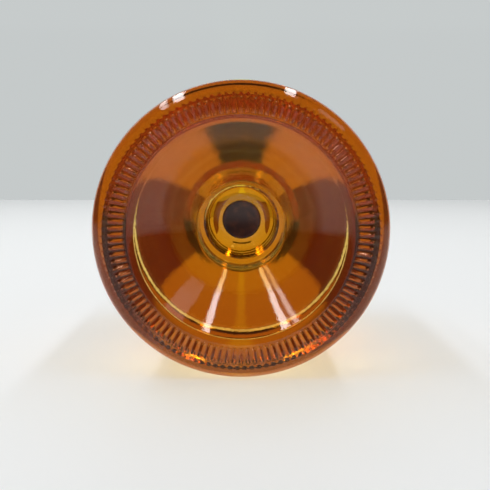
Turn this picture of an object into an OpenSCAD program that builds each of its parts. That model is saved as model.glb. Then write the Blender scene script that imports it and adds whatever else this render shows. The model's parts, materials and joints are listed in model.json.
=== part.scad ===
// Two-part glass pin insulator, lying on its side.
// The pin axis runs along Y. The open base faces -Y and the crown faces +Y.
// The origin is on the pin axis, at the mouth of the threaded pin hole.
// Millimetres. Heights are counted along the axis from the resting ring.

/* [Body] */
// Diameter of both glass shells
body_d = 95; // [90:1:115]
// Height of the lower shell, resting ring to top face
lower_h = 40; // [38:1:52]
// Height of the upper shell, from its seat to the crown's edge
upper_h = 96.5; // [80:0.5:110]
// Rounding at the crown's edge
crown_round = 7; // [4:0.5:8]
// Rise of the crown's middle above its edge
crown_rise = 1.5; // [0.5:0.5:3]
// Rounding of the two edges where the shells meet
joint_edge_r = 0.4; // [0.2:0.2:1.2]

/* [Base] */
// Width of the resting ring
ring_w = 5.5; // [4.5:0.5:6]
// Rounding of the outer edge of the base
heel_r = 5.3; // [4:0.1:6]
// Rounding between the cone and the resting ring
nose_r = 4.5; // [3:0.5:6]
// Number of drip ridges round the resting ring
ridge_count = 118; // [60:2:140]
// Height of a drip ridge
ridge_h = 0.5; // [0.3:0.1:0.8]
// Width of the plain band that joins the ridges inside
ridge_band = 0.5; // [0.3:0.1:1]
// Plain margin of the resting ring on both sides of the ridges
ridge_margin = 0.3; // [0.2:0.1:0.6]

/* [Pin hole] */
// Diameter of the smooth bore through the lower shell
lower_bore_d = 29.6; // [28:0.2:36]
// Rounding of the lower bore's mouth
mouth_r = 1.5; // [1:0.5:2]
// Height of the bore's mouth above the resting ring, where the cone ends
mouth_at = 20; // [16:0.5:26]
// Diameter of the threaded pin hole in the upper shell
pin_hole_d = 25.4; // [21:0.2:27]
// Length of the pin hole's straight wall
pin_hole_l = 14; // [10:1:24]
// Depth of the rounded blind end beyond the straight wall
dome_l = 4.5; // [3.5:0.5:8]

/* [Wire groove] */
// Radius of the side wire groove
side_groove_r = 7.5; // [6:0.5:9]
// Depth of the side wire groove
side_groove_depth = 4.5; // [3:0.5:5]
// Distance of the side groove's middle below the crown's edge
side_groove_drop = 22; // [20:0.5:30]
// Rounding of the side groove's edges
groove_edge_r = 2.5; // [1.5:0.5:3]

/* [Seat and pad] */
// Thickness of the seat ring between the shells
seat_t = 1; // [1:0.5:3]
// Outer diameter of the seat ring
seat_d = 44; // [40:1:60]
// Diameter of the pin pad
pad_d = 14.4; // [10:0.2:16]
// Thickness of the pin pad
pad_t = 2.5; // [1.5:0.5:3]
// Depth of the dish in the pin pad
pad_dish = 0.6; // [0.2:0.1:1]
// Width of the flat rim round the dish
pad_rim = 0.8; // [0.4:0.1:2]

/* [Fits] */
// Radial gap between the seat ring and the bore edge
seat_gap = 0.6; // [0.3:0.1:1]
// Glass left round the pin pad at the blind end
pad_margin = 1; // [0.5:0.1:2]

/* [Hidden] */
amber = [0.72, 0.36, 0.07, 0.85];

body_r = body_d / 2;
bore_r = lower_bore_d / 2;
pin_r = pin_hole_d / 2;
pad_r = pad_d / 2;
land_out = body_r - heel_r;
land_in = land_out - ring_w;
hole_mouth = lower_h + seat_t;
hole_end = hole_mouth + pin_hole_l + dome_l;
top_edge = hole_mouth + upper_h;
side_groove_at = top_edge - side_groove_drop;

// The cone is the straight line that touches the nose rounding and the mouth rounding.
// cone_normal is the direction that its surface faces.
nose_centre = [land_in, ridge_h + nose_r];
mouth_centre = [bore_r + mouth_r, mouth_at];
cone_span = nose_centre - mouth_centre;
cone_normal = 360 + atan2(cone_span[1], cone_span[0]) - acos((mouth_r - nose_r) / norm(cone_span));

// Points along an arc, from angle a to angle b, in n steps
function arc(c, r, a, b, n = 8) =
    [for (i = [0:n]) c + r * [cos(a + (b - a) * i / n), sin(a + (b - a) * i / n)]];

// A round-bottomed groove in the outer wall, with rounded edges, from below to above
function groove(at, r, depth, e) =
    let (reach = r + e - depth,
         w = sqrt(pow(r + e, 2) - pow(reach, 2)),
         t = acos(reach / (r + e)))
    concat(arc([body_r - e, at - w], e, 0, t, 5),
           arc([body_r - depth + r, at], r, 180 + t, 180 - t, 14),
           arc([body_r - e, at + w], e, -t, 0, 5));

// Puts what is drawn along +Z, from the resting ring at 0, onto the pin axis
module on_axis() {
    rotate([-90, 0, 0]) translate([0, 0, -hole_mouth]) children();
}

// Turns an outline of [radius, height] points round the pin axis
module turned(outline) {
    on_axis() rotate_extrude($fn = 180) polygon(outline);
}

// Ring of radial drip ridges on the resting ring
module drip_ridges() {
    inner = land_in + ridge_margin;
    root = inner + ridge_band;
    tip = land_out - ridge_margin;
    half = 90 / ridge_count;
    taper = 0.9;
    teeth = [for (i = [0:ridge_count - 1])
             let (a = i * 360 / ridge_count)
             for (p = [[root, -half], [tip, -half * taper], [tip, half * taper], [root, half]])
             p[0] * [cos(a + p[1]), sin(a + p[1])]];
    on_axis() difference() {
        linear_extrude(2 * ridge_h) polygon(teeth);
        translate([0, 0, -1]) cylinder(h = 2 * ridge_h + 2, r = inner, $fn = 180);
    }
}

// Lower shell: the separate skirt, with the concave cone underneath and a smooth bore
module lower_shell() {
    outline = concat(
        [[bore_r, lower_h]],
        arc(mouth_centre, mouth_r, 180, cone_normal, 4),
        arc(nose_centre, nose_r, cone_normal, 270, 6),
        arc([land_out, ridge_h + heel_r], heel_r, 270, 360, 10),
        arc([body_r - joint_edge_r, lower_h - joint_edge_r], joint_edge_r, 0, 90, 4));
    color(amber) union() {
        turned(outline);
        drip_ridges();
    }
}

// Upper shell: plain wall, wire groove, domed crown and blind pin hole
module upper_shell() {
    dome_w = pin_r - pad_r - pad_margin;
    dome = [for (t = [90:-15:0])
            [pin_r - dome_w * (1 - cos(t)), hole_mouth + pin_hole_l + dome_l * sin(t)]];
    flat_r = body_r - crown_round;
    crown = [for (i = [5:-1:0]) [flat_r * i / 6, top_edge + crown_rise * (1 - pow(i / 6, 2))]];
    outline = concat(
        [[0, hole_end]],
        dome,
        [[pin_r, hole_mouth]],
        arc([body_r - joint_edge_r, hole_mouth + joint_edge_r], joint_edge_r, 270, 360, 4),
        groove(side_groove_at, side_groove_r, side_groove_depth, groove_edge_r),
        arc([body_r - crown_round, top_edge - crown_round], crown_round, 0, 88, 10),
        crown);
    color(amber) turned(outline);
}

// Seat ring: fibre washer that keeps the two glass faces apart
module seat_ring() {
    inner = bore_r + seat_gap;
    color("saddlebrown") turned([[inner, lower_h], [seat_d / 2, lower_h],
                                 [seat_d / 2, hole_mouth], [inner, hole_mouth]]);
}

// Pin pad: dished disc of pitch at the blind end, where the pin's tip bears
module pin_pad() {
    front = hole_end - pad_t;
    dish = [for (i = [0:6]) [(pad_r - pad_rim) * i / 6, front + pad_dish * (1 - pow(i / 6, 2))]];
    color([0.09, 0.07, 0.08]) turned(concat(dish, [[pad_r, front], [pad_r, hole_end], [0, hole_end]]));
}

upper_shell();
lower_shell();
seat_ring();
pin_pad();
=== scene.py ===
"""Two-part amber glass pin insulator, lying on its side with its open base towards the viewer.

The pin axis runs along Y. The base faces -Y, the crown faces +Y, and the object rests on the
floor along its outer wall. Lengths are metres. Heights run along the axis towards the crown,
from the skirt's resting ring or from the head's lower face.
"""

import json
import logging
import math
from dataclasses import dataclass, field
from enum import Enum

import bpy
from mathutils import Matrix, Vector

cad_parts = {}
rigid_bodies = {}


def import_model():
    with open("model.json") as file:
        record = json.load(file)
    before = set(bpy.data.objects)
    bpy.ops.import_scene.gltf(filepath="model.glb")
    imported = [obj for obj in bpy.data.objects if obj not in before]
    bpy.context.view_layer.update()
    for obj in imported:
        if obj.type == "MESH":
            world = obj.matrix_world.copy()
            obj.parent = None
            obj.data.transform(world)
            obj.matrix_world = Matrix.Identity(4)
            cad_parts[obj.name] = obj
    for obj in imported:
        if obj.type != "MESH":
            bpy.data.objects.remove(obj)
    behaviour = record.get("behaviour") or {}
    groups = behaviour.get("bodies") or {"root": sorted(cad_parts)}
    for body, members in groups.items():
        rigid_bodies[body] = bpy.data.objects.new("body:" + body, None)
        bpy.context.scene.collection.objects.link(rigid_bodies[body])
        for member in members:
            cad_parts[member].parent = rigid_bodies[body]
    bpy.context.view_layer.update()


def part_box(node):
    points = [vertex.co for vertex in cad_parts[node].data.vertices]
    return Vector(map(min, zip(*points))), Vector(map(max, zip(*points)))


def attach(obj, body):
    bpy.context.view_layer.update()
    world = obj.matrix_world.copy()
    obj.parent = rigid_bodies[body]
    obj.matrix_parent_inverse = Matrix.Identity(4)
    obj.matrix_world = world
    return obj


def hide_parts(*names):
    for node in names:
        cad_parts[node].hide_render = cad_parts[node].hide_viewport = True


LOG = logging.getLogger("insulator")
MM = 0.001
TOUCH = MM * 1e-3
Point = tuple[float, float]


class Body(Enum):
    """The frame's bodies that the pieces ride on."""

    UPPER = "upper"
    LOWER = "lower"


class Slot(Enum):
    """The record's material slots."""

    GLASS_UPPER = "amber_glass_upper"
    GLASS_LOWER = "amber_glass_lower"
    FIBRE = "seat_fibre"
    PITCH = "pitch"


class SeenBy(Enum):
    """Who sees a studio panel."""

    EVERYTHING = "everything"
    GLASS_ONLY = "glass only"


# ---------------------------------------------------------------- outlines


def arc(centre: Point, radius: float, start: float, end: float, steps: int = 8) -> list[Point]:
    """Points along an arc of an outline.

    Args:
        centre: Radius and height of the arc's centre.
        radius: The arc's radius.
        start: First angle in degrees, from the outward direction towards the crown.
        end: Last angle in degrees.
        steps: How many equal steps the arc has.

    Returns:
        The points, from start to end.
    """
    turns = [math.radians(start + (end - start) * i / steps) for i in range(steps + 1)]
    return [(centre[0] + radius * math.cos(t), centre[1] + radius * math.sin(t)) for t in turns]


def line(start: Point, end: Point, steps: int) -> list[Point]:
    """Points between two ends of a straight stretch, the ends left out.

    Args:
        start: The stretch's first end.
        end: The stretch's last end.
        steps: How many equal steps the stretch has.

    Returns:
        The points inside the stretch.
    """
    shares = [i / steps for i in range(1, steps)]
    return [(start[0] + (end[0] - start[0]) * t, start[1] + (end[1] - start[1]) * t) for t in shares]


# ---------------------------------------------------------------- workbench


class Bench:
    """Modelling steps on one mesh at a time, as done by hand in edit mode."""

    @staticmethod
    def clear() -> None:
        """Deselects every object."""
        for other in bpy.context.view_layer.objects:
            other.select_set(False)

    @classmethod
    def pick(cls, piece: bpy.types.Object) -> None:
        """Makes a piece the only selected one, and the active one.

        Args:
            piece: The object to work on.
        """
        cls.clear()
        piece.select_set(True)
        bpy.context.view_layer.objects.active = piece

    @classmethod
    def start_point(cls, name: str, point: Point) -> bpy.types.Object:
        """Starts an outline as a mesh of one vertex.

        Args:
            name: The piece's name.
            point: Radius and height of the vertex.

        Returns:
            The new object.
        """
        cls.clear()
        bpy.ops.mesh.primitive_plane_add(size=MM, location=(0.0, 0.0, 0.0))
        piece = bpy.context.object
        piece.name = piece.data.name = name
        bpy.ops.object.mode_set(mode="EDIT")
        bpy.ops.mesh.select_all(action="SELECT")
        bpy.ops.mesh.merge(type="CENTER")
        bpy.ops.transform.translate(value=(0.0, point[1], point[0]))
        return piece

    @classmethod
    def turned(cls, name: str, outline: list[Point], steps: int) -> bpy.types.Object:
        """Extrudes an outline point by point and spins it round the pin axis.

        Args:
            name: The piece's name.
            outline: Radius and height of each point, in the frame, in order round the section.
            steps: How many steps the full turn has.

        Returns:
            The new closed piece, with its normals outwards.
        """
        piece = cls.start_point(name, outline[0])
        here = outline[0]
        for there in outline[1:]:
            step = (0.0, there[1] - here[1], there[0] - here[0])
            bpy.ops.mesh.extrude_region_move(TRANSFORM_OT_translate={"value": step})
            here = there
        bpy.ops.mesh.select_all(action="SELECT")
        on_axis = min(outline[0][0], outline[-1][0]) < TOUCH
        if not on_axis:
            bpy.ops.mesh.edge_face_add()
            bpy.ops.mesh.delete(type="ONLY_FACE")
            bpy.ops.mesh.select_all(action="SELECT")
        bpy.ops.mesh.spin(steps=steps, angle=2.0 * math.pi, center=(0.0, 0.0, 0.0), axis=(0.0, 1.0, 0.0))
        bpy.ops.mesh.select_all(action="SELECT")
        bpy.ops.mesh.remove_doubles(threshold=TOUCH)
        bpy.ops.mesh.normals_make_consistent(inside=False)
        bpy.ops.object.mode_set(mode="OBJECT")
        return piece

    @classmethod
    def select_vertices(cls, piece: bpy.types.Object, numbers: list[int]) -> None:
        """Selects some vertices and goes into edit mode.

        Args:
            piece: The object to work on.
            numbers: The vertices' numbers.
        """
        for element in (piece.data.vertices, piece.data.edges, piece.data.polygons):
            element.foreach_set("select", [False] * len(element))
        for number in numbers:
            piece.data.vertices[number].select = True
        bpy.ops.object.mode_set(mode="EDIT")
        bpy.ops.mesh.select_mode(type="VERT")

    @classmethod
    def sink(cls, piece: bpy.types.Object, moves: dict[float, list[int]]) -> None:
        """Moves groups of vertices along the axis, towards the base.

        Args:
            piece: The object to work on.
            moves: The distance of each group, with the group's vertex numbers.
        """
        cls.pick(piece)
        for distance, numbers in moves.items():
            cls.select_vertices(piece, numbers)
            bpy.ops.transform.translate(value=(0.0, -distance, 0.0))
            bpy.ops.object.mode_set(mode="OBJECT")

    @classmethod
    def spread(cls, piece: bpy.types.Object, growths: dict[float, list[int]]) -> None:
        """Scales groups of vertices away from the pin axis.

        Args:
            piece: The object to work on.
            growths: The scale of each group, with the group's vertex numbers.
        """
        cls.pick(piece)
        for growth, numbers in growths.items():
            cls.select_vertices(piece, numbers)
            bpy.ops.transform.resize(value=(growth, 1.0, growth), center_override=(0.0, 0.0, 0.0))
            bpy.ops.object.mode_set(mode="OBJECT")

    @classmethod
    def raise_seams(cls, piece: bpy.types.Object, wall: float, height: float) -> None:
        """Raises the two mould seams along the outer wall, at the left and the right.

        Args:
            piece: The object to work on.
            wall: Radius of the plain wall.
            height: How far the seams stand proud.
        """
        near = 0.02 * MM
        seam = [v.index for v in piece.data.vertices if abs(v.co.z) < near and abs(abs(v.co.x) - wall) < near]
        cls.spread(piece, {1.0 + height / wall: seam})

    @classmethod
    def smooth(cls, piece: bpy.types.Object, angle: float) -> None:
        """Shades a piece smooth, apart from edges sharper than an angle.

        Args:
            piece: The object to work on.
            angle: The largest smooth angle, in degrees.
        """
        cls.pick(piece)
        bpy.ops.object.shade_smooth_by_angle(angle=math.radians(angle))


# ---------------------------------------------------------------- finishes


class Shader:
    """A material's node tree, with a principled surface."""

    def __init__(self, name: str) -> None:
        """Starts a material.

        Args:
            name: The material's name.
        """
        self.material = bpy.data.materials.new(name)
        self.material.use_nodes = True
        self.nodes = self.material.node_tree.nodes
        self.links = self.material.node_tree.links
        self.surface = self.nodes["Principled BSDF"]
        self.output = self.nodes["Material Output"]
        self.place = self.nodes.new("ShaderNodeTexCoord").outputs["Object"]

    def set(self, **values: float | tuple[float, ...]) -> None:
        """Sets the surface's own sockets, named with underscores for spaces.

        Args:
            **values: The value of each socket.
        """
        for socket, value in values.items():
            self.surface.inputs[socket.replace("_", " ")].default_value = value

    def noise(
        self,
        scale: float,
        detail: float,
        stretch: tuple[float, ...] = (1, 1, 1),
    ) -> bpy.types.NodeSocket:
        """Adds a noise pattern on object coordinates.

        Args:
            scale: Patches per metre.
            detail: Octaves of finer noise.
            stretch: Scale of the coordinates along each axis.

        Returns:
            The pattern's value socket.
        """
        mapping = self.nodes.new("ShaderNodeMapping")
        mapping.inputs["Scale"].default_value = stretch
        self.links.new(self.place, mapping.inputs["Vector"])
        node = self.nodes.new("ShaderNodeTexNoise")
        node.inputs["Scale"].default_value = scale
        node.inputs["Detail"].default_value = detail
        self.links.new(mapping.outputs["Vector"], node.inputs["Vector"])
        return node.outputs["Fac"]

    def ramp(
        self,
        value: bpy.types.NodeSocket,
        stops: list[tuple[float, tuple[float, ...]]],
    ) -> bpy.types.NodeSocket:
        """Turns a value into a colour.

        Args:
            value: The value socket to read.
            stops: Position and colour of the two stops.

        Returns:
            The colour socket.
        """
        node = self.nodes.new("ShaderNodeValToRGB")
        for element, (position, colour) in zip(node.color_ramp.elements, stops):
            element.position = position
            element.color = (*colour, 1.0)
        self.links.new(value, node.inputs["Fac"])
        return node.outputs["Color"]

    def bump(self, patterns: list[tuple[bpy.types.NodeSocket, float]]) -> None:
        """Gives the surface a relief, as a chain of bumps.

        Args:
            patterns: Each height pattern, with its depth in metres.
        """
        previous = None
        for height, depth in patterns:
            node = self.nodes.new("ShaderNodeBump")
            node.inputs["Distance"].default_value = depth
            self.links.new(height, node.inputs["Height"])
            if previous is not None:
                self.links.new(previous, node.inputs["Normal"])
            previous = node.outputs["Normal"]
        self.links.new(previous, self.surface.inputs["Normal"])


@dataclass(frozen=True)
class AmberGlass:
    """Pressed amber glass with a faint mould skin.

    The colour is in the depth of the glass, so thin rims are honey and thick parts are brown.
    """

    name: str
    density: float
    colour: tuple[float, float, float] = (0.913, 0.73, 0.04)
    index: float = 1.51
    roughness: float = 0.0
    skin_scale: float = 1400.0
    skin_depth: float = 0.013 * MM
    wave_scale: float = 110.0
    wave_depth: float = 0.05 * MM

    def material(self) -> bpy.types.Material:
        """Builds the glass."""
        shader = Shader(self.name)
        shader.set(
            Base_Color=(1.0, 1.0, 1.0, 1.0),
            Transmission_Weight=1.0,
            Roughness=self.roughness,
            IOR=self.index,
        )
        skin = shader.noise(self.skin_scale, 3.0)
        wave = shader.noise(self.wave_scale, 1.0)
        shader.bump([(wave, self.wave_depth), (skin, self.skin_depth)])
        depth = shader.nodes.new("ShaderNodeVolumeAbsorption")
        depth.inputs["Color"].default_value = (*self.colour, 1.0)
        depth.inputs["Density"].default_value = self.density
        shader.links.new(depth.outputs["Volume"], shader.output.inputs["Volume"])
        return shader.material


@dataclass(frozen=True)
class SeatFibre:
    """Oiled vulcanised fibre, brown with darker flecks."""

    name: str = "seat_fibre"
    pale: tuple[float, float, float] = (0.20, 0.092, 0.038)
    dark: tuple[float, float, float] = (0.075, 0.033, 0.016)
    fleck_scale: float = 900.0
    relief: float = 0.03 * MM

    def material(self) -> bpy.types.Material:
        """Builds the fibre."""
        shader = Shader(self.name)
        shader.set(Roughness=0.55, IOR=1.5)
        flecks = shader.noise(self.fleck_scale, 4.0, (1.0, 0.25, 1.0))
        colour = shader.ramp(flecks, [(0.35, self.dark), (0.65, self.pale)])
        shader.links.new(colour, shader.surface.inputs["Base Color"])
        shader.bump([(flecks, self.relief)])
        return shader.material


@dataclass(frozen=True)
class Pitch:
    """Poured pitch, near black and glossy, with shrink ripples and a little dust."""

    name: str = "pitch"
    dark: tuple[float, float, float] = (0.038, 0.016, 0.018)
    dusty: tuple[float, float, float] = (0.13, 0.045, 0.03)
    ripple_scale: float = 260.0
    ripple_depth: float = 0.06 * MM

    def material(self) -> bpy.types.Material:
        """Builds the pitch."""
        shader = Shader(self.name)
        shader.set(Roughness=0.22, IOR=1.5)
        ripples = shader.noise(self.ripple_scale, 2.0)
        colour = shader.ramp(ripples, [(0.45, self.dark), (0.8, self.dusty)])
        shader.links.new(colour, shader.surface.inputs["Base Color"])
        shader.bump([(ripples, self.ripple_depth)])
        return shader.material


@dataclass(frozen=True)
class Matt:
    """A plain matt studio surface."""

    name: str
    colour: tuple[float, float, float]
    roughness: float = 0.6

    def material(self) -> bpy.types.Material:
        """Builds the surface."""
        shader = Shader(self.name)
        shader.set(Base_Color=(*self.colour, 1.0), Roughness=self.roughness)
        return shader.material


@dataclass(frozen=True)
class Glow:
    """A softly lit backdrop."""

    name: str
    colour: tuple[float, float, float]
    strength: float

    def material(self) -> bpy.types.Material:
        """Builds the backdrop."""
        shader = Shader(self.name)
        shader.set(
            Base_Color=(0.0, 0.0, 0.0, 1.0),
            Emission_Color=(*self.colour, 1.0),
            Emission_Strength=self.strength,
            Roughness=1.0,
        )
        return shader.material


# ---------------------------------------------------------------- the frame's places


@dataclass
class Places:
    """Where the frame's nodes lie, read from their boxes."""

    seam_height: float = 0.1 * MM
    body_radius: float = field(init=False)
    wall: float = field(init=False)
    base: float = field(init=False)
    seat_face: float = field(init=False)
    head_face: float = field(init=False)
    crown: float = field(init=False)
    seat_front: float = field(init=False)
    pad_front: float = field(init=False)
    pad_back: float = field(init=False)
    pad_radius: float = field(init=False)
    seat_radius: float = field(init=False)

    def __post_init__(self) -> None:
        """Reads the boxes."""
        skirt_low, skirt_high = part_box("lower_shell")
        head_low, head_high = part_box("upper_shell")
        seat_low, seat_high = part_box("seat_ring")
        pad_low, pad_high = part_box("pin_pad")
        self.body_radius = skirt_high.x
        self.wall = self.body_radius - self.seam_height
        self.base = skirt_low.y
        self.seat_face = skirt_high.y
        self.head_face = head_low.y
        self.crown = head_high.y
        self.seat_front = seat_low.y
        self.seat_radius = seat_high.x
        self.pad_front = pad_low.y
        self.pad_back = pad_high.y
        self.pad_radius = pad_high.x


# ---------------------------------------------------------------- sub-assemblies


@dataclass
class GlassSkirt:
    """The lower shell: ridged resting ring, concave cone and smooth bore."""

    places: Places
    heel_radius: float = 5.3 * MM
    nose_radius: float = 4.5 * MM
    ring_width: float = 5.5 * MM
    ridge_height: float = 0.5 * MM
    ridge_margin: float = 0.3 * MM
    ridge_count: int = 118
    ridge_shoulder: float = 0.45 * MM
    columns_per_ridge: int = 6
    crest_columns: float = 0.5
    flank_columns: float = 1.5
    flank_share: float = 0.62
    bead_radius_at: float = 43.6 * MM
    bead_height: float = 0.35 * MM
    bead_half_width: float = 0.3 * MM
    bead_reach: float = 0.6 * MM
    bore_radius: float = 14.8 * MM
    mouth_radius: float = 1.5 * MM
    mouth_height: float = 20.0 * MM
    edge_radius: float = 0.4 * MM
    smooth_angle: float = 42.0
    glass: AmberGlass = AmberGlass("amber_glass_skirt", density=54.0)

    def land(self) -> tuple[float, float]:
        """Inner and outer radius of the flat resting ring."""
        outer = self.places.wall - self.heel_radius
        return outer - self.ring_width, outer

    def outline(self) -> list[Point]:
        """The section, from the bore's top round the base to the seat face."""
        base, top, radius = self.places.base, self.places.seat_face, self.places.wall
        inner, outer = self.land()
        nose = (inner, base + self.ridge_height + self.nose_radius)
        mouth = (self.bore_radius + self.mouth_radius, base + self.mouth_height)
        span = (nose[0] - mouth[0], nose[1] - mouth[1])
        lean = math.acos((self.mouth_radius - self.nose_radius) / math.hypot(*span))
        normal = 360.0 + math.degrees(math.atan2(span[1], span[0]) - lean)
        floor = base + self.ridge_height
        mouth_arc = arc(mouth, self.mouth_radius, 180.0, normal, 5)
        nose_arc = arc(nose, self.nose_radius, normal, 270.0, 9)
        start, end = inner + self.ridge_margin, outer - self.ridge_margin
        first, last = (start + self.ridge_shoulder, floor), (end - self.ridge_shoulder, floor)
        ring = [(start, floor), first] + line(first, last, 3) + [last, (end, floor)]
        heel_arc = arc((outer, floor + self.heel_radius), self.heel_radius, 270.0, 360.0, 18)
        edge_arc = arc((radius - self.edge_radius, top - self.edge_radius), self.edge_radius, 0.0, 90.0, 5)
        bore_top = (self.bore_radius, top)
        return (
            [bore_top]
            + line(bore_top, mouth_arc[0], 3)
            + mouth_arc
            + line(mouth_arc[-1], nose_arc[0], 9)
            + nose_arc
            + ring
            + heel_arc
            + line(heel_arc[-1], edge_arc[0], 8)
            + edge_arc
            + line(edge_arc[-1], bore_top, 6)
        )

    def raise_ridges(self, piece: bpy.types.Object) -> None:
        """Raises the drip ridges and the row of beads outside them.

        Args:
            piece: The spun shell.
        """
        inner, outer = self.land()
        start, end = inner + self.ridge_margin, outer - self.ridge_margin
        floor = self.places.base + self.ridge_height
        pitch = 2.0 * math.pi / self.ridge_count
        tolerance = 0.05 * MM
        moves: dict[float, list[int]] = {}
        for vertex in piece.data.vertices:
            reach = math.hypot(vertex.co.x, vertex.co.z)
            turn = math.atan2(vertex.co.x, vertex.co.z) / pitch
            phase = abs(turn - round(turn)) * self.columns_per_ridge
            on_ridge = start + tolerance < reach < end - tolerance
            if on_ridge and abs(vertex.co.y - floor) < tolerance and phase < self.flank_columns:
                on_crest = phase < self.crest_columns
                height = self.ridge_height if on_crest else self.flank_share * self.ridge_height
                moves.setdefault(height, []).append(vertex.index)
            near_bead = abs(reach - self.bead_radius_at) < self.bead_half_width
            if near_bead and vertex.co.y < floor + self.bead_reach and phase < self.crest_columns:
                moves.setdefault(self.bead_height, []).append(vertex.index)
        Bench.sink(piece, moves)

    def build(self) -> bpy.types.Object:
        """Turns the shell, raises its ridges and dresses it in glass.

        Returns:
            The finished piece.
        """
        piece = Bench.turned("glass_skirt", self.outline(), self.ridge_count * self.columns_per_ridge)
        self.raise_ridges(piece)
        Bench.raise_seams(piece, self.places.wall, self.places.seam_height)
        Bench.smooth(piece, self.smooth_angle)
        piece.data.materials.append(self.glass.material())
        piece.visible_shadow = False
        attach(piece, Body.LOWER.value)
        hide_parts("lower_shell")
        return piece


@dataclass
class GlassHead:
    """The upper shell: solid head with the threaded pin hole, the wire groove and the crown."""

    places: Places
    height: float = 96.5 * MM
    crown_radius: float = 7.0 * MM
    crown_rise: float = 1.5 * MM
    crown_turn: float = 88.0
    crown_steps: int = 12
    pin_radius: float = 12.7 * MM
    pin_wall: float = 14.0 * MM
    dome_height: float = 4.5 * MM
    dome_steps: int = 12
    pad_margin: float = 1.0 * MM
    thread_pitch: float = 6.35 * MM
    thread_depth: float = 0.9 * MM
    thread_margin: float = 0.2 * MM
    thread_fade: float = 2.0 * MM
    thread_levels: int = 12
    groove_radius: float = 7.5 * MM
    groove_depth: float = 4.5 * MM
    groove_drop: float = 22.0 * MM
    groove_edge: float = 2.5 * MM
    edge_radius: float = 0.4 * MM
    steps: int = 600
    smooth_angle: float = 34.0
    glass: AmberGlass = AmberGlass("amber_glass_head", density=64.0)

    def crown_edge(self) -> float:
        """Height of the crown's edge."""
        return self.places.head_face + self.height

    def side_groove(self) -> list[Point]:
        """The round wire groove with its rounded edges, from below to above."""
        radius = self.places.wall
        height = self.crown_edge() - self.groove_drop
        reach = self.groove_radius + self.groove_edge - self.groove_depth
        across = self.groove_radius + self.groove_edge
        half = math.sqrt(across**2 - reach**2)
        turn = math.degrees(math.acos(reach / across))
        root = (radius - self.groove_depth + self.groove_radius, height)
        return (
            arc((radius - self.groove_edge, height - half), self.groove_edge, 0.0, turn, 7)
            + arc(root, self.groove_radius, 180.0 + turn, 180.0 - turn, 20)
            + arc((radius - self.groove_edge, height + half), self.groove_edge, -turn, 0.0, 7)
        )

    def pin_hole(self) -> list[Point]:
        """The blind pin hole, from its end to its mouth."""
        mouth = self.places.head_face
        straight = mouth + self.pin_wall
        width = self.pin_radius - self.places.pad_radius - self.pad_margin
        end = (self.pin_radius, mouth)
        turns = [math.radians(90.0 - 90.0 * i / self.dome_steps) for i in range(self.dome_steps + 1)]
        dome = [
            (self.pin_radius - width * (1.0 - math.cos(t)), straight + self.dome_height * math.sin(t))
            for t in turns
        ]
        return [(0.0, dome[0][1])] + dome + line(dome[-1], end, 24) + [end]

    def outline(self) -> list[Point]:
        """The section, from the pin hole's end round the wall to the crown's middle."""
        radius, face, top = self.places.wall, self.places.head_face, self.crown_edge()
        groove = self.side_groove()
        edge = self.edge_radius
        edge_arc = arc((radius - edge, face + edge), edge, 270.0, 360.0, 5)
        flat, count = radius - self.crown_radius, self.crown_steps
        crown_arc = arc((flat, top - self.crown_radius), self.crown_radius, 0.0, self.crown_turn, 16)
        crown = [
            (flat * i / count, top + self.crown_rise * (1.0 - (i / count) ** 2))
            for i in range(count - 1, -1, -1)
        ]
        hole = self.pin_hole()
        return (
            hole
            + line(hole[-1], edge_arc[0], 6)
            + edge_arc
            + line(edge_arc[-1], groove[0], 12)
            + groove
            + line(groove[-1], crown_arc[0], 3)
            + crown_arc
            + crown
        )

    def cut_thread(self, piece: bpy.types.Object) -> None:
        """Waves the pin hole's straight wall outwards into a rounded right-hand thread.

        Args:
            piece: The spun head.
        """
        near = 0.05 * MM
        face = self.places.head_face
        low, high = face + self.thread_margin, face + self.pin_wall - self.thread_margin
        growths: dict[float, list[int]] = {}
        for vertex in piece.data.vertices:
            place = vertex.co
            if abs(math.hypot(place.x, place.z) - self.pin_radius) > near or not low < place.y < high:
                continue
            turn = math.atan2(place.x, place.z) / (2.0 * math.pi)
            wave = 0.5 - 0.5 * math.cos(2.0 * math.pi * ((place.y - low) / self.thread_pitch - turn))
            fade = min(1.0, (place.y - low) / self.thread_fade, (high - place.y) / self.thread_fade)
            level = round(wave * fade * self.thread_levels) / self.thread_levels
            growths.setdefault(1.0 + level * self.thread_depth / self.pin_radius, []).append(vertex.index)
        growths.pop(1.0, None)
        Bench.spread(piece, growths)

    def build(self) -> bpy.types.Object:
        """Turns the head, cuts its thread and dresses it in glass.

        Returns:
            The finished piece.
        """
        piece = Bench.turned("glass_head", self.outline(), self.steps)
        self.cut_thread(piece)
        Bench.raise_seams(piece, self.places.wall, self.places.seam_height)
        Bench.smooth(piece, self.smooth_angle)
        piece.data.materials.append(self.glass.material())
        piece.visible_shadow = False
        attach(piece, Body.UPPER.value)
        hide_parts("upper_shell")
        return piece


@dataclass
class SeatRing:
    """The fibre washer between the two glass faces."""

    places: Places
    inner_radius: float = 15.4 * MM
    edge: float = 0.25 * MM
    steps: int = 180
    smooth_angle: float = 50.0

    def build(self) -> bpy.types.Object:
        """Turns the washer with softened edges and dresses it in fibre.

        Returns:
            The finished piece.
        """
        low, high = self.places.seat_front, self.places.head_face
        inner, outer, soft = self.inner_radius, self.places.seat_radius, self.edge
        outline = (
            arc((inner + soft, low + soft), soft, 180.0, 270.0, 3)
            + arc((outer - soft, low + soft), soft, 270.0, 360.0, 3)
            + arc((outer - soft, high - soft), soft, 0.0, 90.0, 3)
            + arc((inner + soft, high - soft), soft, 90.0, 180.0, 3)
        )
        piece = Bench.turned("fibre_seat_ring", outline, self.steps)
        Bench.smooth(piece, self.smooth_angle)
        piece.data.materials.append(SeatFibre().material())
        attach(piece, Body.UPPER.value)
        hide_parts("seat_ring")
        return piece


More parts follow.
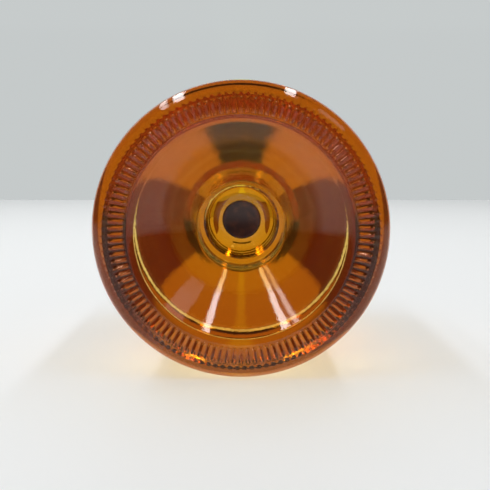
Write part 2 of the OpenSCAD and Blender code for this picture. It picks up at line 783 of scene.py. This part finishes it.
@dataclass
class PinPad:
    """The dished disc of pitch at the blind end of the pin hole."""

    places: Places
    dish_depth: float = 0.6 * MM
    rim: float = 0.8 * MM
    edge: float = 0.3 * MM
    dish_steps: int = 10
    steps: int = 96
    smooth_angle: float = 50.0

    def build(self) -> bpy.types.Object:
        """Turns the pad and dresses it in pitch.

        Returns:
            The finished piece.
        """
        front, back, radius = self.places.pad_front, self.places.pad_back, self.places.pad_radius
        bowl, count = radius - self.rim, self.dish_steps
        dish = [
            (bowl * i / count, front + self.dish_depth * (1.0 - (i / count) ** 2))
            for i in range(count + 1)
        ]
        outline = dish + arc((radius - self.edge, front + self.edge), self.edge, 270.0, 360.0, 4)
        outline += [(radius, back), (0.0, back)]
        piece = Bench.turned("pitch_pad", outline, self.steps)
        Bench.smooth(piece, self.smooth_angle)
        piece.data.materials.append(Pitch().material())
        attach(piece, Body.UPPER.value)
        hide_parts("pin_pad")
        return piece


# ---------------------------------------------------------------- studio


@dataclass(frozen=True)
class Tint:
    """A see-through colour for the shade that softens the glass's shadow."""

    name: str
    colour: tuple[float, float, float]

    def material(self) -> bpy.types.Material:
        """Builds the tint."""
        shader = Shader(self.name)
        clear = shader.nodes.new("ShaderNodeBsdfTransparent")
        clear.inputs["Color"].default_value = (*self.colour, 1.0)
        shader.links.new(clear.outputs["BSDF"], shader.output.inputs["Surface"])
        return shader.material


@dataclass(frozen=True)
class Tube:
    """A long lamp over the object, leaning to one side."""

    name: str
    lean: float
    width: float
    length: float
    power: float
    along: float = 0.2


@dataclass(frozen=True)
class Backdrop:
    """An upright lit panel behind the object: how far past the base, how high and how large."""

    name: str
    strength: float
    behind: float
    height: float
    size: Point
    seen_by: SeenBy
    colour: tuple[float, float, float] = (0.95, 1.0, 1.0)


@dataclass
class Studio:
    """Pale floor, lit backdrops, dark flags that paint shade and a shadow into the glass, shade, lamps, room
    and camera.
    """

    places: Places
    floor_colour: tuple[float, float, float] = (0.82, 0.83, 0.83)
    floor_size: Point = (8.0, 8.0)
    floor_middle: float = 0.6
    backdrops: tuple[Backdrop, ...] = (
        Backdrop("wall", 0.58, 1.3, 0.6, (3.0, 1.4), SeenBy.EVERYTHING),
        Backdrop("wall_upper", 0.92, 1.29, 0.75, (2.6, 1.0), SeenBy.GLASS_ONLY),
        Backdrop("wall_window", 1.0, 1.28, 0.55, (0.08, 0.7), SeenBy.GLASS_ONLY, (1.05, 1.45, 0.80)),
    )
    # Painted shade: the dark colour of the upright flags, seen only by the glass, stands in for the shaded
    # sides round it.
    painted_side_shade_colour: tuple[float, float, float] = (0.36, 0.17, 0.18)
    flag_distance: float = 0.062
    flag_top: float = 0.036
    flag_start: float = 0.10
    flag_end: float = 0.9
    flag_roughness: float = 0.9
    # Painted shadow: the near-black flat strip, seen only by the glass, stands in for the object's shadow on
    # the floor behind the crown.
    painted_shadow_colour: tuple[float, float, float] = (0.012, 0.008, 0.012)
    strip_roughness: float = 0.7
    strip_lift: float = 1.0 * MM
    strip_width: float = 0.0264
    strip_start: float = 0.12
    strip_end: float = 0.20
    strip_corner: float = 0.012
    shade_colour: tuple[float, float, float] = (0.74, 0.70, 0.62)
    shade_radius_share: float = 0.96
    shade_length_share: float = 0.97
    tubes: tuple[Tube, ...] = (
        Tube("tube_left", 21.0, 0.10, 1.8, 7.0),
        Tube("tube_right", -27.0, 0.10, 1.8, 7.0),
        Tube("tube_far_right", -34.0, 0.08, 1.8, 3.0),
        Tube("window_left", 42.0, 0.32, 0.6, 0.7, -0.55),
    )
    tube_reach: float = 1.3
    ceiling_along: float = 0.5
    ceiling_height: float = 1.5
    ceiling_size: Point = (1.6, 2.2)
    ceiling_power: float = 7.5
    ambient: tuple[float, float, float] = (0.07, 0.07, 0.075)
    room_colour: tuple[float, float, float] = (0.55, 0.57, 0.575)
    camera_distance: float = 0.27955
    camera_height: float = 0.0222
    camera_aside: float = 0.00127
    camera_down: float = 5.395
    camera_lens: float = 66.1
    camera_sensor: float = 36.0

    def panel(
        self,
        name: str,
        finish: Matt | Glow,
        centre: Vector,
        size: Point,
        tilt: tuple[float, float, float] = (0.0, 0.0, 0.0),
        seen_by: SeenBy = SeenBy.EVERYTHING,
    ) -> bpy.types.Object:
        """Adds a flat studio panel.

        Args:
            name: The panel's name.
            finish: Its finish.
            centre: Its middle.
            size: Its width and depth before it is tilted.
            tilt: Its turn about each axis, in degrees.
            seen_by: Whether the camera and matt surfaces see it too.

        Returns:
            The panel.
        """
        Bench.clear()
        bpy.ops.mesh.primitive_plane_add(size=1.0, location=centre, rotation=[math.radians(t) for t in tilt])
        panel = bpy.context.object
        panel.name = name
        panel.scale = (*size, 1.0)
        panel.data.materials.append(finish.material())
        if seen_by is SeenBy.GLASS_ONLY:
            panel.visible_camera = False
            panel.visible_shadow = False
            panel.visible_diffuse = False
        return panel

    def lamp(self, name: str, place: Vector, lean: float, size: Point, power: float) -> bpy.types.Object:
        """Adds a rectangular lamp that faces down, leaning about Y.

        Args:
            name: The lamp's name.
            place: Its middle.
            lean: Its turn about Y, in degrees.
            size: Its width and length.
            power: Its power in watts.

        Returns:
            The lamp.
        """
        bpy.ops.object.light_add(type="AREA", location=place, rotation=(0.0, math.radians(lean), 0.0))
        lamp = bpy.context.object
        lamp.name = name
        lamp.data.shape = "RECTANGLE"
        lamp.data.size, lamp.data.size_y = size
        lamp.data.energy = power
        return lamp

    def build_stage(self) -> None:
        """Lays the floor and stands the backdrops behind the object."""
        floor, base = -self.places.body_radius, self.places.base
        middle = Vector((0.0, base + self.floor_middle, floor))
        self.panel("floor", Matt("floor", self.floor_colour), middle, self.floor_size)
        upright = (90.0, 0.0, 0.0)
        for drop in self.backdrops:
            glow = Glow(drop.name, drop.colour, drop.strength)
            middle = Vector((0.0, base + drop.behind, drop.height))
            self.panel(drop.name, glow, middle, drop.size, upright, drop.seen_by)

    def build_flags(self) -> None:
        """Sets the dark flags behind the crown, which only the glass sees: two on edge paint shade into the
        glass's sides, and one flat paints the object's shadow on the floor behind it into the glass.
        """
        floor, crown = -self.places.body_radius, self.places.crown
        near, far = crown + self.flag_start, crown + self.flag_end
        # Painted shade: the upright flags cast and light nothing, and their dark colour shows as shade in the
        # glass's sides.
        dark = Matt("painted_side_shade", self.painted_side_shade_colour, self.flag_roughness)
        height = self.flag_top - floor
        for side, name in ((-1.0, "painted_shade_left"), (1.0, "painted_shade_right")):
            middle = Vector((side * self.flag_distance, (near + far) / 2, floor + height / 2))
            self.panel(name, dark, middle, (height, far - near), (0.0, 90.0, 0.0), SeenBy.GLASS_ONLY)
        length = self.strip_end - self.strip_start
        middle = Vector((0.0, crown + self.strip_start + length / 2, floor + self.strip_lift))
        # Painted shadow: a near-black strip on the floor behind the crown, seen only by the glass, in place
        # of the object's own shadow there.
        painted_shadow_finish = Matt("painted_shadow_strip", self.painted_shadow_colour, self.strip_roughness)
        strip = self.panel("painted_shadow_flat", painted_shadow_finish, middle, (self.strip_width, length), seen_by=SeenBy.GLASS_ONLY)
        Bench.pick(strip)
        bpy.ops.object.transform_apply(location=False, rotation=False, scale=True)
        far_corners = [v.index for v in strip.data.vertices if v.co.y > 0.0]
        Bench.select_vertices(strip, far_corners)
        bpy.ops.mesh.bevel(offset=self.strip_corner, segments=8, affect="VERTICES")
        bpy.ops.object.mode_set(mode="OBJECT")

    def build_shade(self) -> None:
        """Stands a tinted shade in for the glass's shadow, so that the light under it is warm and soft."""
        Bench.clear()
        length = self.places.crown - self.places.base
        bpy.ops.mesh.primitive_cylinder_add(
            vertices=96,
            radius=self.shade_radius_share * self.places.body_radius,
            depth=self.shade_length_share * length,
            location=(0.0, self.places.base + length / 2, 0.0),
            rotation=(math.radians(90.0), 0.0, 0.0),
        )
        shade = bpy.context.object
        shade.name = "shade"
        shade.data.materials.append(Tint("shade", self.shade_colour).material())
        shade.visible_camera = False
        shade.visible_glossy = False
        shade.visible_transmission = False
        shade.visible_diffuse = False

    def build_lamps(self) -> None:
        """Hangs the long tubes and the soft ceiling lamp."""
        base = self.places.base
        for tube in self.tubes:
            lean = math.radians(tube.lean)
            aside, height = self.tube_reach * math.sin(lean), self.tube_reach * math.cos(lean)
            place = Vector((aside, base + tube.along, height))
            self.lamp(tube.name, place, tube.lean, (tube.width, tube.length), tube.power)
        place = Vector((0.0, base + self.ceiling_along, self.ceiling_height))
        ceiling = self.lamp("ceiling", place, 0.0, self.ceiling_size, self.ceiling_power)
        ceiling.visible_glossy = False
        ceiling.visible_transmission = False

    def build_room(self) -> None:
        """Sets the room round the stage: pale to the camera itself, dim to everything else."""
        world = bpy.data.worlds.new("room")
        world.use_nodes = True
        nodes, links = world.node_tree.nodes, world.node_tree.links
        dim, output = nodes["Background"], nodes["World Output"]
        dim.inputs["Color"].default_value = (*self.ambient, 1.0)
        pale = nodes.new("ShaderNodeBackground")
        pale.inputs["Color"].default_value = (*self.room_colour, 1.0)
        seen = nodes.new("ShaderNodeLightPath").outputs["Is Camera Ray"]
        mix = nodes.new("ShaderNodeMixShader")
        links.new(seen, mix.inputs["Fac"])
        links.new(dim.outputs["Background"], mix.inputs[1])
        links.new(pale.outputs["Background"], mix.inputs[2])
        links.new(mix.outputs["Shader"], output.inputs["Surface"])
        bpy.context.scene.world = world

    def build_camera(self) -> None:
        """Sets the camera in front of the base, a little above the axis, looking slightly down."""
        bpy.ops.object.camera_add(
            location=(self.camera_aside, self.places.base - self.camera_distance, self.camera_height),
            rotation=(math.radians(90.0 - self.camera_down), 0.0, 0.0),
        )
        camera = bpy.context.object
        camera.data.sensor_width = self.camera_sensor
        camera.data.lens = self.camera_lens
        bpy.context.scene.camera = camera

    def build(self) -> None:
        """Builds the whole studio."""
        self.build_stage()
        self.build_flags()
        self.build_shade()
        self.build_lamps()
        self.build_room()
        self.build_camera()


def main() -> None:
    """Builds the insulator round the frame, and its studio."""
    logging.basicConfig(level=logging.INFO, format="%(name)s: %(message)s")
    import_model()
    places = Places()
    for maker in (GlassSkirt(places), GlassHead(places), SeatRing(places), PinPad(places)):
        piece = maker.build()
        LOG.info("%s: %d faces", piece.name, len(piece.data.polygons))
    Studio(places).build()
    bpy.context.scene.view_settings.view_transform = "Standard"


if __name__ == "__main__":
    main()
